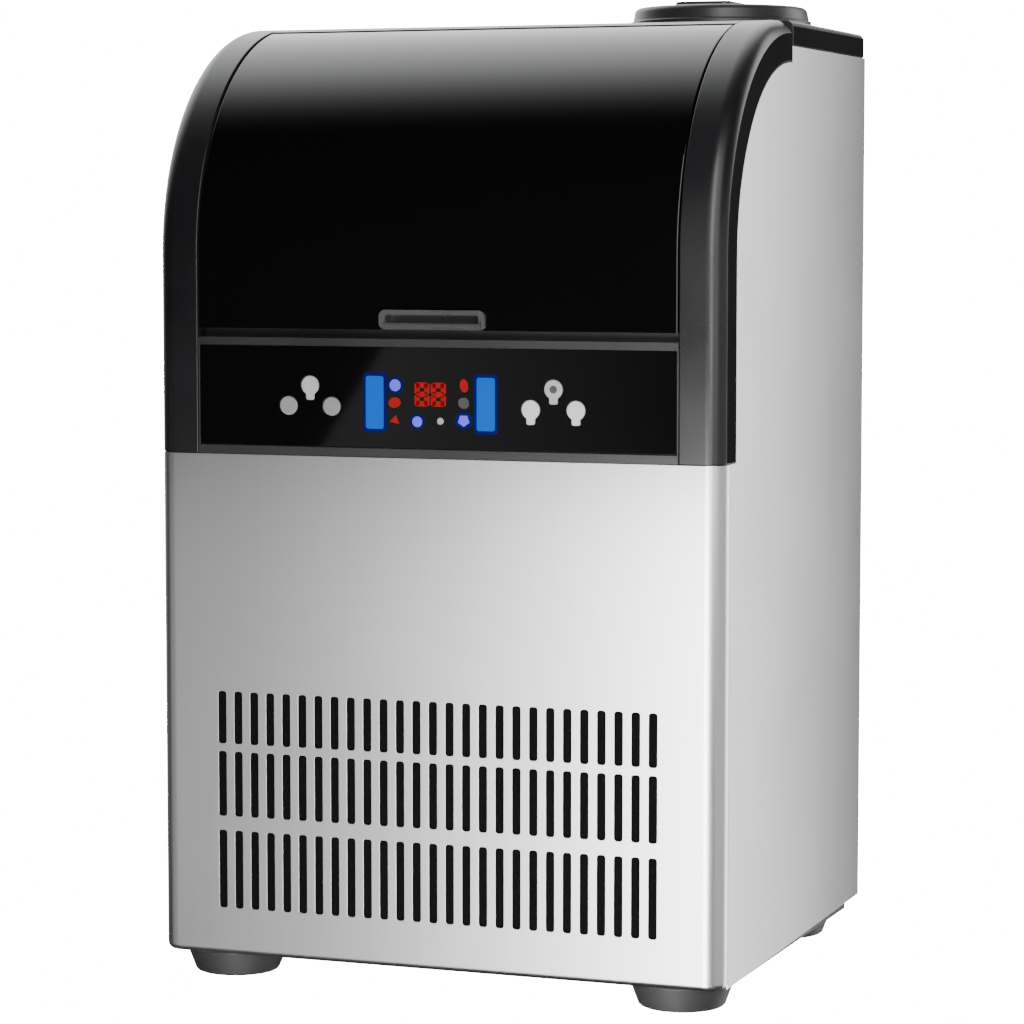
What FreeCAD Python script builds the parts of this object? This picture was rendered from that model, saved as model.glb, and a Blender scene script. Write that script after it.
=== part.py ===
"""Counter-top ice maker: vertical-grid kind, arched lid, water bottle seat on top.

Millimetres. +Z up, the front faces -Y, +X is to the right of someone facing the front.
The origin is on the floor, under the middle of the machine's bounding box.
"""
import FreeCAD, Part
import math
import os

V = FreeCAD.Vector
os.makedirs("parts", exist_ok=True)

# ---------------------------------------------------------------- driving dimensions
WIDTH = 370.0             # over the side panels
DEPTH = 328.0             # front panel face to rear panel face
PULL_OUT = 4.0            # how far the lid's finger lip stands out of the front face
FOOT_H = 16.5             # floor to the lower edge of the panels
FRONT_H = 316.7           # height of the stainless front panel
WINDOW_TOP = 384.5        # top of the control window, above the panels' lower edge
LEDGE_TOP = 389.5         # top of the ledge strip over the window
LID_LOW = 395.0           # lower edge of the lid
ARCH_Z = 440.0            # where the straight front runs into the arch
ARCH_R = 146.0            # radius of the arch
SIDE_TOP = 570.0          # top edge of the side panels behind the arch
CHEEK_W = 28.0            # width of the end cheeks seen from the front
CHEEK_D = 26.0            # width of the end cheeks seen from the side
CORNER_R = 12.0           # bend radius of the front panel and the cheeks' outer edges
RETURN_D = 14.0           # depth of the front panel's returns

SHEET = 1.0               # stainless sheet
WALL = 2.5                # moulded covers
GAP = 0.3                 # clearance between pieces

# ---------------------------------------------------------------- derived places
XS = WIDTH / 2                              # outer face of a side panel
XI = XS - SHEET                             # inner face of a side panel
XJ = XS - CHEEK_W                           # inner face of an end cheek
YR = (DEPTH + PULL_OUT) / 2                 # rear face
YF = YR - DEPTH                             # front face
YB = YR - 1.8                               # rear panel face, set in behind the side panels' edges
YC = YF + ARCH_R                            # axis of the arch
ZB = FOOT_H                                 # lower edge of the panels
ZP = ZB + FRONT_H                           # top of the front panel
ZW = ZB + WINDOW_TOP
ZL = ZB + LEDGE_TOP
ZD = ZB + LID_LOW
ZC = ZB + ARCH_Z
ZS = ZB + SIDE_TOP
ZT = ZC + ARCH_R                            # top of the arch and the top cover


# ---------------------------------------------------------------- helpers
def box(x0, x1, y0, y1, z0, z1):
    """Box between opposite corners."""
    return Part.makeBox(x1 - x0, y1 - y0, z1 - z0, V(x0, y0, z0))


def rod(radius, start, end):
    """Round bar from start to end."""
    way = end - start
    return Part.makeCylinder(radius, way.Length, start, way)


def ring(outer, inner, start, end):
    """Round tube from start to end."""
    return rod(outer, start, end).cut(rod(inner, start, end))


def fuse(shapes):
    """One solid out of touching shapes."""
    shapes = list(shapes)
    return shapes[0].multiFuse(shapes[1:]).removeSplitter()


def cut(shape, tools):
    """Shape less every tool."""
    return shape.cut(list(tools))


def polygon_x(points, x0, x1):
    """Prism along X from (y, z) corners."""
    corners = [V(x0, y, z) for y, z in points]
    face = Part.Face(Part.makePolygon(corners + corners[:1]))
    return face.extrude(V(x1 - x0, 0, 0))


def rounded_box(x0, x1, y0, y1, z0, z1, radius, axis):
    """Box with its four edges along an axis (0, 1 or 2) rounded."""
    shape = box(x0, x1, y0, y1, z0, z1)
    picked = []
    for edge in shape.Edges:
        way = edge.tangentAt(edge.FirstParameter)
        if abs(abs(way[axis]) - 1) < 1e-6:
            picked.append(edge)
    return shape.makeFillet(radius, picked)


def slot_y(x, z0, z1, width, y0, y1):
    """Upright slot with round ends, cut along Y."""
    r = width / 2
    return rounded_box(x - r, x + r, y0, y1, z0, z1, r * 0.98, 1)


def arch(inset, z_low, y_end, x0, x1):
    """Everything under the arch line, moved inwards by inset, as far back as y_end."""
    r = ARCH_R - inset
    y_front = YF + inset
    arc = Part.Arc(V(x0, y_front, ZC),
                   V(x0, YC - r * math.sqrt(0.5), ZC + r * math.sqrt(0.5)),
                   V(x0, YC, ZC + r))
    edges = [
        Part.makeLine(V(x0, y_front, z_low), V(x0, y_front, ZC)),
        arc.toShape(),
    ]
    last = V(x0, YC, ZC + r)
    if y_end > YC:
        edges.append(Part.makeLine(last, V(x0, y_end, ZC + r)))
        last = V(x0, y_end, ZC + r)
    corner = V(x0, last.y, z_low)
    edges.append(Part.makeLine(last, corner))
    edges.append(Part.makeLine(corner, V(x0, y_front, z_low)))
    return Part.Face(Part.Wire(edges)).extrude(V(x1 - x0, 0, 0))


def arch_point(inset, y):
    """Height of the arch line, moved inwards by inset, at y."""
    r = ARCH_R - inset
    return ZC + math.sqrt(r * r - (y - YC) ** 2)


def pipe(points, radius, bend):
    """Solid pipe along straight runs joined by tangent arcs."""
    edges = []
    last = points[0]
    for before, corner, after in zip(points, points[1:], points[2:]):
        a = (before - corner).normalize()
        b = (after - corner).normalize()
        half = math.acos(max(-1.0, min(1.0, a.dot(b)))) / 2
        reach = bend / math.tan(half)
        start = corner + a * reach
        end = corner + b * reach
        middle_way = (a + b).normalize()
        middle = corner + middle_way * (bend / math.sin(half) - bend)
        edges.append(Part.makeLine(last, start))
        edges.append(Part.Arc(start, middle, end).toShape())
        last = end
    edges.append(Part.makeLine(last, points[-1]))
    way = points[1] - points[0]
    section = Part.Wire(Part.makeCircle(radius, points[0], way))
    swept = Part.Wire(edges).makePipeShell([section], True, False)
    return swept


def save(name, shape):
    """Write one named piece."""
    for solid in shape.Solids:
        if not solid.isValid() or solid.Volume <= 0:
            raise ValueError(name + " holds a bad solid")
    shape.exportStep("parts/" + name + ".step")


# ---------------------------------------------------------------- lid and hinge places
NOSE_Y = YF + 116.0                          # front edge of the top cover, between the cheeks
LID_X = XJ - 0.8                             # half the lid's width
LID_REAR = NOSE_Y - 2.8                      # rear edge of the lid
PIN_R = 3.0                                  # lid hinge pin
PIN_Y = LID_REAR - 11.0
PIN_Z = arch_point(0, PIN_Y) - 11.3
PULL_W = 69.0                                # width of the finger pull's rim
PULL_LOW = 4.2                               # bottom of the finger pull's pocket, above the lid's lower edge
PULL_TOP = 9.2                               # top of that pocket


# ---------------------------------------------------------------- cabinet skin
def front_panel():
    """Slotted stainless front: bent corners, shallow returns, rounded lower edge."""
    def tray(inset):
        low = ZB + inset
        block = box(-XS + inset, XS - inset, YF + inset, YF + RETURN_D + inset * 2, low, ZP + inset * 2)
        block = block.makeFillet(CORNER_R - inset, [
            e for e in block.Edges
            if e.BoundBox.ZLength > 100 and e.BoundBox.YMin < YF + 5])
        return block.makeFillet(5.0 - inset, [
            e for e in block.Edges
            if e.BoundBox.ZMax < low + 0.1 and e.BoundBox.YMax < YF + RETURN_D + inset
            and e.BoundBox.YMin < YF + RETURN_D - 0.5])
    shell = tray(0).cut(tray(SHEET))
    shell = shell.common(box(-XS, XS, YF, YF + RETURN_D - GAP, ZB, ZP))
    slots = []
    for column in range(-13, 14):
        for z0, z1 in ((30.0, 79.5), (88.5, 129.5), (134.5, 167.5)):
            slots.append(slot_y(column * 10.9, ZB + z0, ZB + z1, 5.4, YF - 1, YF + 3))
    return cut(shell, slots)


def side_panel(side):
    """Flat stainless side, cut to the cheek's inner line."""
    inset = CHEEK_D + GAP
    low = box(0, SHEET, YF + RETURN_D, YR, ZB, ZP + GAP)
    high = arch(inset, ZP, YC + 5, 0, SHEET)
    back = box(0, SHEET, YC + GAP, YR, ZP, ZS)
    flange = box(-9, SHEET, YB - 2 * SHEET - GAP, YB - SHEET - GAP, ZB, ZS)
    panel = fuse([low, high, back, flange])
    panel.translate(V(XI, 0, 0))
    return panel if side > 0 else panel.mirror(V(0, 0, 0), V(1, 0, 0))


RECESS = (80.0, 168.0, 40.0, 150.0)          # x and z of the pocket for the water fittings
RECESS_D = 30.0
INLET = (145.0, 60.0)                        # x and z of the water inlet thread
DRAIN = (105.0, 75.0)                        # x and z of the drain spout
MAINS = (-145.0, 70.0)                       # x and z of the mains inlet
INLET_R = 13.2                               # three-quarter inch pipe thread
COLLAR_R = 15.0                              # plain collar at the thread's root
SPOUT_R = 8.0


def rear_panel():
    """Rear sheet with outlet louvres and a pocket for the water fittings."""
    x0, x1, z0, z1 = RECESS
    sheet = rounded_box(-XI + GAP, XI - GAP, YB - SHEET, YB, ZB, ZS, 3.0, 1)
    outer = box(x0, x1, YB - RECESS_D, YB - SHEET, z0, z1)
    inner = box(x0 + SHEET, x1 - SHEET, YB - RECESS_D + SHEET, YB + 1, z0 + SHEET, z1 - SHEET)
    panel = fuse([sheet, outer]).cut(inner)
    x, z = MAINS
    tools = [box(x - 14, x + 14, YB - 5, YB + 1, z - 11, z + 11)]
    for (x, z), radius in ((INLET, COLLAR_R + GAP), (DRAIN, SPOUT_R + GAP)):
        tools.append(rod(radius, V(x, YB - RECESS_D - 1, z), V(x, YB - RECESS_D + 2, z)))
    for row in range(3):
        for column in range(-8, 9):
            low = 200 + row * 58
            tools.append(slot_y(column * 13.0, low, low + 48, 6.0, YB - 3, YB + 1))
    return cut(panel, tools)


FOOT_X = 149.0
FEET = {
    "foot_front_left": (-FOOT_X, YF + 37),
    "foot_front_right": (FOOT_X, YF + 37),
    "foot_rear_left": (-FOOT_X, YR - 62),
    "foot_rear_right": (FOOT_X, YR - 62),
}


def base_pan():
    """Folded base tray with tapering skirts and four threaded bosses."""
    y0 = YF + RETURN_D + 1
    y1 = YR - 30
    floor = box(-XI + 0.5, XI - 0.5, y0, y1, ZB, ZB + 1.5)
    skirt = polygon_x([(y0, ZB - 1), (y1, ZB - 4.5), (y1, ZB + 24), (y0, ZB + 24)], XI - 2, XI - 0.5)
    front = box(-XI + 0.5, XI - 0.5, y0, y0 + 1.5, ZB, ZB + 12)
    back = box(-XI + 0.5, XI - 0.5, y1 - 1.5, y1, ZB, ZB + 12)
    bosses = [rod(9, V(x, y, ZB + 1), V(x, y, ZB + 14)) for x, y in FEET.values()]
    pan = fuse([floor, skirt, skirt.mirror(V(0, 0, 0), V(1, 0, 0)), front, back] + bosses)
    return cut(pan, [rod(5.3, V(x, y, 0), V(x, y, ZB + 20)) for x, y in FEET.values()])


def foot(x, y):
    """Levelling foot: tapered pad on a screw."""
    top = ZB - GAP
    pad = Part.makeCone(27.0, 32.5, top - 1.5, V(x, y, 1.5))
    sole = Part.makeCone(25.5, 27.0, 1.5, V(x, y, 0))
    screw = rod(5, V(x, y, top - 1), V(x, y, ZB + 26))
    return fuse([pad, sole, screw])


def end_cheek(side):
    """Moulded end trim along the arch: a channel, open towards the inside."""
    block = arch(0, ZP + GAP, YC, XJ, XS).cut(arch(CHEEK_D, ZP - 1, YC + 1, XJ - 1, XS + 1))
    block = block.makeFillet(CORNER_R, outer_edges(block, XS, 0))
    hollow = arch(WALL, ZP + GAP + WALL, YC - WALL, XJ + WALL, XS - WALL)
    hollow = hollow.cut(arch(CHEEK_D + 1, ZP - 1, YC + 1, XJ, XS))
    hollow = hollow.makeFillet(CORNER_R - WALL, outer_edges(hollow, XS - WALL, WALL))
    boss = rod(8, V(XJ + 1, PIN_Y, PIN_Z), V(XJ + 11, PIN_Y, PIN_Z))
    cheek = fuse([block.cut(hollow), boss])
    cheek = cheek.cut(rod(PIN_R + 0.05, V(XJ - 1, PIN_Y, PIN_Z), V(XJ + 9, PIN_Y, PIN_Z)))
    return cheek if side > 0 else cheek.mirror(V(0, 0, 0), V(1, 0, 0))


def outer_edges(shape, x, inset):
    """The straight and the arched edge on the arch line in the plane at x."""
    found = []
    for edge in shape.Edges:
        bounds = edge.BoundBox
        if abs(bounds.XMin - x) > 1e-4 or abs(bounds.XMax - x) > 1e-4:
            continue
        point = edge.valueAt((edge.FirstParameter + edge.LastParameter) / 2)
        if point.z < ZC:
            if abs(point.y - YF - inset) < 1e-3 and bounds.ZLength > 20:
                found.append(edge)
        elif abs(math.hypot(point.y - YC, point.z - ZC) - ARCH_R + inset) < 1e-3:
            found.append(edge)
    return found


BOTTLE = (110.0, YF + 240.0)                 # centre of the bottle seat
CAP_R = 59.0                                 # lift-off cap
NECK_R = 28.6                                # neck of a standard water bottle, with play


def top_cover():
    """Moulded top: full width behind the arch, with a nose between the cheeks."""
    def deck(inset):
        block = box(-XS + inset, XS - inset, YC + GAP + inset, YR - inset, ZS + GAP - inset, ZT - inset)
        uprights = [e for e in block.Edges if e.BoundBox.ZLength > 5 and e.BoundBox.YMin > 0]
        block = block.makeFillet(5.0 - inset, uprights)
        rim = [e for e in block.Edges
               if e.BoundBox.ZMin > ZT - inset - 0.1 and e.BoundBox.YMax > YC + inset + 1]
        return block.makeFillet(4.8 - inset, rim)
    outer = deck(0).cut(deck(WALL))
    nose = arch(0, ZC - 10, YC + 4, -XJ + GAP, XJ - GAP)
    nose = nose.cut(arch(WALL, ZC - 11, YC + 5, -XJ, XJ))
    nose = nose.common(box(-XS, XS, NOSE_Y, YC + 4, ZC, ZT + 1))
    passage = box(-XJ + GAP, XJ - GAP, YC, YC + WALL + 1, ZS - 1, ZT - WALL)
    x, y = BOTTLE
    return cut(fuse([outer, nose]), [passage, rod(50.3, V(x, y, ZS - 5), V(x, y, ZT + 1))])


def bottle_seat():
    """Funnel that takes the neck of a water bottle, with a spigot below."""
    x, y = BOTTLE
    seat = fuse([
        rod(52.5, V(x, y, ZT), V(x, y, ZT + 3)),
        rod(50, V(x, y, ZS - 20), V(x, y, ZT + 1)),
        rod(34, V(x, y, ZS - 45), V(x, y, ZS - 18)),
        rod(7, V(x, y, ZS - 62), V(x, y, ZS - 44)),
    ])
    return cut(seat, [
        Part.makeCone(NECK_R, 47, ZT + 4 - (ZS - 10), V(x, y, ZS - 10)),
        rod(NECK_R, V(x, y, ZS - 35), V(x, y, ZS - 9)),
        rod(4.5, V(x, y, ZS - 70), V(x, y, ZS - 30)),
    ])


def bottle_seat_cap():
    """Lift-off cap over the bottle seat, with a raised grip across it."""
    x, y = BOTTLE
    low = ZT + GAP
    skirt = rod(CAP_R, V(x, y, low), V(x, y, low + 4.5))
    crown = Part.makeCone(CAP_R - 1.2, CAP_R - 3.0, 9.5, V(x, y, low + 4))
    crown = crown.makeFillet(4.0, [e for e in crown.Edges if e.BoundBox.ZMin > low + 13])
    grip = rounded_box(x - 19, x + 19, y - 44, y + 24, low + 9, low + 16, 6.0, 2)
    grip = grip.makeFillet(1.5, [e for e in grip.Edges if e.BoundBox.ZMin > low + 15.5])
    inside = fuse([
        rod(55.5, V(x, y, low - 1), V(x, y, low + 4)),
        rod(51, V(x, y, low + 3.9), V(x, y, low + 10.5)),
    ])
    return fuse([skirt, crown, grip]).cut(inside)


# ---------------------------------------------------------------- lid
def lid():
    """Arched outer shell with stiffening flanges along its sides and lower edge."""
    def band(inset0, inset1, x0, x1, z_low):
        shape = arch(inset0, z_low, YC, x0, x1).cut(arch(inset1, z_low - 1, YC + 1, x0 - 1, x1 + 1))
        return shape.common(box(-XS, XS, YF - 1, LID_REAR, z_low, ZT))
    skin = band(0.5, 3.0, -LID_X, LID_X, ZD)
    pieces = [skin]
    for side in (-1, 1):
        x0, x1 = sorted((side * LID_X, side * (LID_X - 2.5)))
        pieces.append(band(0.5, 9.0, x0, x1, ZD))
        x0, x1 = sorted((side * LID_X, side * (LID_X - 6.0)))
        pieces.append(rod(7.0, V(x0, PIN_Y, PIN_Z), V(x1, PIN_Y, PIN_Z)))
    pieces.append(box(-LID_X, LID_X, YF + 0.5, YF + 9, ZD, ZD + 2.5))
    shell = fuse(pieces)
    holes = []
    for side in (-1, 1):
        x0, x1 = sorted((side * (LID_X - 7), side * (LID_X + 1)))
        holes.append(rod(PIN_R, V(x0, PIN_Y, PIN_Z), V(x1, PIN_Y, PIN_Z)))
    holes.append(box(-PULL_W / 2 + 2, PULL_W / 2 - 2, YF - 1, YF + 4, ZD + PULL_LOW - 1.4, ZD + PULL_TOP + 1.4))
    return cut(shell, holes)


def lid_liner():
    """Inner skin that stiffens the lid, set in from its edges."""
    x = LID_X - 8.0
    liner = arch(6.0, ZD + 16, YC, -x, x).cut(arch(8.0, ZD + 10, YC + 1, -x - 1, x + 1))
    liner = liner.common(box(-XS, XS, YF, PIN_Y - 12, ZD + 16, ZT))
    ribs = []
    for rib_x in (-100.0, 0.0, 100.0):
        rib = arch(3.0, ZD + 16, YC, rib_x - 1, rib_x + 1).cut(arch(6.5, ZD, YC + 1, rib_x - 2, rib_x + 2))
        ribs.append(rib.common(box(-XS, XS, YF, PIN_Y - 12, ZD + 16, ZT)))
    return fuse([liner] + ribs)


def lid_handle():
    """Finger pull at the lid's lower edge: pocket, rim and a lip that stands out."""
    half = PULL_W / 2
    pocket = rounded_box(-half + 2.3, half - 2.3, YF, YF + 9.5, ZD + PULL_LOW - 1.2, ZD + PULL_TOP + 1.2, 1.8, 1)
    pocket = pocket.cut(rounded_box(-half + 4, half - 4, YF - 1, YF + 8, ZD + PULL_LOW, ZD + PULL_TOP, 1.6, 1))
    rim = rounded_box(-half, half, YF - 1.2, YF + 0.5, ZD + 0.2, ZD + PULL_TOP + 3, 4.0, 1)
    rim = rim.cut(rounded_box(-half + 4, half - 4, YF - 2, YF + 1, ZD + PULL_LOW, ZD + PULL_TOP, 1.6, 1))
    lip = polygon_x([(YF, ZD + 0.2), (YF - PULL_OUT + 1, ZD + 1.2), (YF - PULL_OUT, ZD + 2.8),
                     (YF - PULL_OUT + 0.6, ZD + PULL_LOW), (YF, ZD + PULL_LOW - 0.6)], -half + 4, half - 2)
    return fuse([pocket, rim, lip])


def lid_hinge_pins():
    """Two short pins, fixed in the lid's ears."""
    pins = []
    for side in (-1, 1):
        pins.append(rod(PIN_R, V(side * (LID_X - 6.0), PIN_Y, PIN_Z), V(side * (XJ + 8), PIN_Y, PIN_Z)))
    return Part.makeCompound(pins)


# ---------------------------------------------------------------- control panel
FASCIA_D = 22.0
WINDOW_LOW = 322.5
KEY_R = 5.8
KEY_TRAVEL = 0.8
KEYS = {
    "key_1": (-95.4, 347.5),
    "key_2": (-81.0, 360.3),
    "key_3": (-66.6, 347.5),
    "key_4": (63.4, 347.8),
    "key_5": (78.0, 360.3),
    "key_6": (92.3, 347.8),
}
PLAIN_KEYS = ("key_1", "key_3")              # round ones, without a stem


def key_outline(name, grow, y0, y1):
    """Round key, most of them with a short stem below."""
    x, z = KEYS[name]
    z += ZB
    disc = rod(KEY_R + grow, V(x, y0, z), V(x, y1, z))
    if name in PLAIN_KEYS:
        return disc
    stem = rounded_box(x - 2.7 - grow, x + 2.7 + grow, y0, y1, z - 9.0 - grow, z - 2, 1.4, 1)
    return fuse([disc, stem])


def control_fascia():
    """Moulded frame of the control panel, with the ledge above its window."""
    x = XJ - GAP
    shell = box(-x, x, YF + 0.6, YF + FASCIA_D, ZP + GAP, ZL)
    shell = shell.cut(box(-x + WALL, x - WALL, YF + 5.5, YF + FASCIA_D + 1, ZP + GAP + WALL, ZL - WALL))
    ledge = box(-x, x, YF, YF + 2, ZW + GAP, ZL)
    lip = box(-x, x, YF, YF + 2, ZP + GAP, ZB + WINDOW_LOW - GAP)
    upstand = box(-x, x, YF + 11, YF + 13.5, ZL - 1, ZL + 18)
    window = box(-x + 1, x - 1, YF - 1, YF + 3.3, ZB + WINDOW_LOW, ZW)
    holes = [key_outline(name, GAP, YF - 1, YF + 8) for name in KEYS]
    display = box(-46, 44, YF, YF + 8, ZB + 331, ZB + 371)
    return cut(fuse([shell, ledge, lip, upstand]), [window, display] + holes)


def display_window():
    """Glossy sheet over the control panel, with holes for the keys."""
    x = XJ - GAP - 1.2
    sheet = box(-x, x, YF + 0.8, YF + 3.3, ZB + WINDOW_LOW + 0.2, ZW - 0.2)
    return cut(sheet, [key_outline(name, GAP, YF - 1, YF + 8) for name in KEYS])


def key(name):
    """Key cap with a plunger that reaches its switch."""
    x, z = KEYS[name]
    cap = key_outline(name, 0, YF + 0.4, YF + 5.0)
    collar = rod(KEY_R + 1.5, V(x, YF + 6.0, ZB + z), V(x, YF + 7.2, ZB + z))
    plunger = rod(2.0, V(x, YF + 4.5, ZB + z), V(x, YF + 10, ZB + z))
    return fuse([cap, collar, plunger])


def key_board():
    """Circuit board behind the fascia, with a switch behind each key."""
    board = box(-120, 120, YF + 14.5, YF + 16.1, ZB + 322, ZB + 382)
    switches = [box(x - 3, x + 3, YF + 10 + KEY_TRAVEL + GAP, YF + 15, ZB + z - 3, ZB + z + 3)
                for x, z in KEYS.values()]
    posts = [rod(2.5, V(x, YF + 16, ZB + z), V(x, YF + 19.5, ZB + z))
             for x in (-112, 112) for z in (327, 377)]
    return fuse([board] + switches + posts)


def display_module():
    """Light module behind the window: two level bars, two digits and small icons."""
    block = box(-45, 43, YF + 3.6, YF + 14.2, ZB + 332, ZB + 370)
    pockets = [box(-8 + 9 * n, -2 + 9 * n, YF + 3, YF + 4.4, ZB + 350, ZB + 363) for n in range(2)]
    return cut(block, pockets)


# ---------------------------------------------------------------- ice bin and water side
BIN_X = 148.0
BIN_Y0 = YF + 46
BIN_Y1 = YR - 44
BIN_Z0 = 232.0
BIN_Z1 = ZS - 22
BIN_LIP = ZL - 4                             # front wall's height
LINER = 2.0
TROUGH_Z = 348.0
EVAP_Y = BIN_Y1 - 42                         # front face of the evaporator's back plate
EVAP_Z0 = 412.0
EVAP_Z1 = 540.0
EVAP_X = 92.0
FEED = (-127.0, EVAP_Z0 + 118)               # x and z where the feed line leaves the liner
SUCTION = (-139.0, EVAP_Z0 + 8)              # x and z where the suction line leaves it
EVAP_SHIFT = V(-28.0, 0, 0)                  # the ice side stands left of the bottle seat
CURTAIN_Y = EVAP_Y - 29.0                    # pivot of the splash curtain
CURTAIN_Z = EVAP_Z1 + 17.0
TROUGH_X = 122.0
TROUGH_Y0 = EVAP_Y - 22
TROUGH_Y1 = BIN_Y1 - LINER - 0.5
TROUGH_H = 42.0
TROUGH_MID = (TROUGH_Y0 + TROUGH_Y1) / 2
PUMP_X = 74.0
PUMP_OUT = 20.0                              # outlet's distance from the pump's axis
SHAFT_R = 2.0                                # pump shaft
FLOAT_X = -85.0


def bin_liner():
    """Food-safe liner: ice bin in front, evaporator chamber behind and above."""
    outer = box(-BIN_X, BIN_X, BIN_Y0, BIN_Y1, BIN_Z0, BIN_Z1)
    inner = box(-BIN_X + LINER, BIN_X - LINER, BIN_Y0 + LINER, BIN_Y1 - LINER, BIN_Z0 + LINER, BIN_Z1 + 1)
    mouth = box(-BIN_X - 1, BIN_X + 1, BIN_Y0 - 1, BIN_Y0 + 20, BIN_LIP, BIN_Z1 + 1)
    slope = polygon_x([(BIN_Y0 - 1, ZC + 60), (YC - 60, BIN_Z1 + 1), (BIN_Y0 - 1, BIN_Z1 + 1)], -XS, XS)
    hose = rod(6.3, V(BIN_X - 20, BIN_Y1 - 20, 0), V(BIN_X - 20, BIN_Y1 - 20, BIN_Z0 + 5))
    pipes = [rod(5, V(x, BIN_Y1 - 5, z), V(x, BIN_Y1 + 1, z))
             for x, z in (FEED, SUCTION)]
    return cut(outer, [inner, mouth, slope, hose] + pipes)


def bin_insulation():
    """Foam jacket round the lower part of the liner."""
    foam = box(-BIN_X - 20, BIN_X + 20, BIN_Y0 - 20, BIN_Y1 + 20, BIN_Z0 - 20, BIN_LIP - 6)
    inside = box(-BIN_X - GAP, BIN_X + GAP, BIN_Y0 - GAP, BIN_Y1 + GAP, BIN_Z0 - GAP, BIN_LIP)
    hose = rod(8, V(BIN_X - 20, BIN_Y1 - 20, 0), V(BIN_X - 20, BIN_Y1 - 20, BIN_Z0 + 5))
    return cut(foam, [inside, hose])


def bin_front_throat():
    """Sloping throat between the control panel and the bin's front wall."""
    x = BIN_X - 1
    start = YF + FASCIA_D + 1
    profile = [(start, ZL + 1), (start, ZL - 2), (BIN_Y0 - 1, BIN_LIP + 0.5),
               (BIN_Y0 + 4, BIN_LIP + 0.5), (BIN_Y0 + 4, BIN_LIP + 2.5)]
    return polygon_x(profile, -x, x)


def evaporator_plate():
    """Chilled plate with the open ice grid on its front."""
    plate = box(-EVAP_X, EVAP_X, EVAP_Y, EVAP_Y + 2, EVAP_Z0, EVAP_Z1)
    fins = []
    for n in range(9):
        x = -EVAP_X + n * (2 * EVAP_X - 1.6) / 8
        fins.append(box(x, x + 1.6, EVAP_Y - 18, EVAP_Y + 1, EVAP_Z0, EVAP_Z1))
    for n in range(7):
        z = EVAP_Z0 + n * (EVAP_Z1 - EVAP_Z0 - 1.6) / 6
        fins.append(box(-EVAP_X, EVAP_X, EVAP_Y - 18, EVAP_Y + 1, z, z + 1.6))
    return fuse([plate] + fins).translated(EVAP_SHIFT)


def evaporator_coil():
    """Serpentine tube brazed to the back of the plate."""
    y = EVAP_Y + 2 + 4.5
    points = [V(-EVAP_X + 6, y, EVAP_Z0 + 8)]
    for n in range(6):
        z = EVAP_Z0 + 8 + n * 22
        ends = (-EVAP_X + 8, EVAP_X - 8)
        first, last = ends if n % 2 == 0 else ends[::-1]
        if n:
            points.append(V(first, y, z))
        points.append(V(last, y, z))
    return pipe(points, 4.2, 9.0).translated(EVAP_SHIFT)


def water_distributor():
    """Pipe with drip holes along the top of the evaporator."""
    y = EVAP_Y - 9
    z = EVAP_Z1 + 14
    tube = ring(8, 6.3, V(-EVAP_X, y, z), V(EVAP_X, y, z))
    ends = [rod(8, V(x, y, z), V(x + 3, y, z)) for x in (-EVAP_X - 3, EVAP_X)]
    ears = [box(x, x + 4, y - 24, y + 4, z - 5, z + 10) for x in (-EVAP_X - 7, EVAP_X + 3)]
    drips = [rod(1.2, V(-EVAP_X + 12 + n * 20, y, z - 10), V(-EVAP_X + 12 + n * 20, y, z)) for n in range(9)]
    pins = [rod(2.05, V(x - 1, CURTAIN_Y, CURTAIN_Z), V(x + 5, CURTAIN_Y, CURTAIN_Z))
            for x in (-EVAP_X - 7, EVAP_X + 3)]
    inlet = rod(3.2, V(EVAP_X - 8, y, z), V(EVAP_X - 8, y + 12, z))
    socket = rod(5, V(EVAP_X - 8, y, z), V(EVAP_X - 8, y + 12, z))
    core = rod(6.3, V(-EVAP_X, y, z), V(EVAP_X, y, z))
    body = fuse([tube, socket.cut(core)] + ends + ears)
    return cut(body, drips + pins + [inlet]).translated(EVAP_SHIFT)


def splash_curtain():
    """Clear flap that hangs in front of the grid and swings out as the ice falls."""
    x = EVAP_X + 1.5
    flap = box(-x, x, CURTAIN_Y - 1, CURTAIN_Y + 1, EVAP_Z0 - 14, CURTAIN_Z)
    head = rod(3.5, V(-x, CURTAIN_Y, CURTAIN_Z), V(x, CURTAIN_Y, CURTAIN_Z))
    pins = rod(2.0, V(-EVAP_X - 6, CURTAIN_Y, CURTAIN_Z), V(EVAP_X + 6, CURTAIN_Y, CURTAIN_Z))
    ribs = [box(rx, rx + 2, CURTAIN_Y - 3, CURTAIN_Y, EVAP_Z0, CURTAIN_Z - 10) for rx in (-61, -1, 59)]
    return fuse([flap, head, pins] + ribs).translated(EVAP_SHIFT)


def water_trough():
    """Open trough under the evaporator."""
    outer = box(-TROUGH_X, TROUGH_X, TROUGH_Y0, TROUGH_Y1, TROUGH_Z, TROUGH_Z + TROUGH_H)
    inner = box(-TROUGH_X + 2, TROUGH_X - 2, TROUGH_Y0 + 2, TROUGH_Y1 - 2,
                TROUGH_Z + 2, TROUGH_Z + TROUGH_H + 1)
    reach = BIN_X - LINER - 0.5
    tabs = [box(x0, x1, TROUGH_MID - 6, TROUGH_MID + 6, TROUGH_Z + TROUGH_H - 3, TROUGH_Z + TROUGH_H)
            for x0, x1 in ((-reach, -TROUGH_X + 0.5), (TROUGH_X - 0.5, reach))]
    return fuse([outer.cut(inner)] + tabs)


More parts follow.
